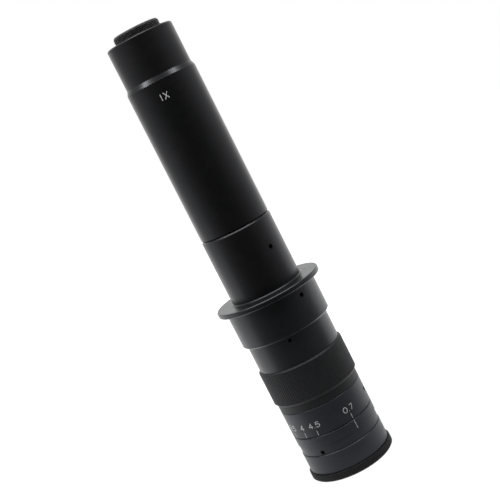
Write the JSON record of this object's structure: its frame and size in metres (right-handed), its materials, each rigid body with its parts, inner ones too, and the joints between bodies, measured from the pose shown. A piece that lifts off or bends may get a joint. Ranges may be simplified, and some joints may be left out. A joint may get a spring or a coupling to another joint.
{
  "type": "c-mount zoom lens",
  "caption": "Upright c-mount zoom lens: knurled zoom ring over a cam tube, sliding lens groups, flanged mounting collar and a long camera tube with a male thread.",
  "frame": {"origin": "centre of the front end, where the lens stands on its knurled front ring", "axes": "+Z along the optical axis towards the camera thread, -Y towards the side that shows the index line"},
  "size_m": [0.0584, 0.0584, 0.254],
  "materials": {
    "black_anodised": "satin black anodised, fine turning marks",
    "grey_anodised": "satin dark grey anodised, fine bead-blasted",
    "matt_black": "matt black anodised",
    "coated_glass": "polished, anti-reflection coated",
    "black_steel": "blackened set screws",
    "brass": "turned, bare"
  },
  "bodies": {
    "lens": {"front_ring": "matt_black", "front_barrel": "grey_anodised", "objective_crown": "coated_glass", "objective_flint": "coated_glass", "objective_singlet": "coated_glass", "objective_spacer": "matt_black", "objective_retaining_ring": "matt_black", "index_ring": "grey_anodised", "index_ring_screws": "black_steel", "guide_barrel": "matt_black", "main_body": "black_anodised", "main_body_screws": "black_steel", "rear_cell": "matt_black", "rear_crown": "coated_glass", "rear_flint": "coated_glass", "rear_retaining_ring": "matt_black", "aperture_stop": "matt_black", "mounting_collar": "black_anodised", "mounting_collar_screws": "black_steel", "coupling_tube": "black_anodised", "coupling_tube_screws": "black_steel", "main_tube": "black_anodised", "tube_lens_cell": "matt_black", "tube_lens_crown": "coated_glass", "tube_lens_flint": "coated_glass", "tube_lens_retaining_ring": "matt_black", "tube_lens_lock_ring": "matt_black", "camera_tube": "black_anodised"},
    "zoom": {"zoom_ring": "matt_black", "scale_ring": "grey_anodised", "cam_tube": "matt_black", "zoom_ring_screws": "black_steel", "scale_ring_screws": "black_steel"},
    "variator": {"variator_cell": "matt_black", "variator_flint": "coated_glass", "variator_crown": "coated_glass", "variator_retaining_ring": "matt_black", "variator_follower": "brass"},
    "compensator": {"compensator_cell": "matt_black", "compensator_crown": "coated_glass", "compensator_flint": "coated_glass", "compensator_retaining_ring": "matt_black", "compensator_follower": "brass"}
  },
  "joints": [
    {"name": "zoom_turn", "type": "hinge", "parent": "lens", "child": "zoom", "pos_m": [0, 0, 0.046], "axis": [0, 0, -1], "range_deg": [0, 308.5]},
    {"name": "variator_slide", "type": "slide", "parent": "lens", "child": "variator", "axis": [0, 0, 1], "range_m": [0, 0.0126]},
    {"name": "compensator_slide", "type": "slide", "parent": "lens", "child": "compensator", "axis": [0, 0, -1], "range_m": [0, 0.0066]}
  ],
  "couplings": [
    {"joint": "variator_slide", "follows": "zoom_turn", "m_per_rad": 0.0023401},
    {"joint": "compensator_slide", "follows": "zoom_turn", "m_per_rad": 0.0012258}
  ]
}
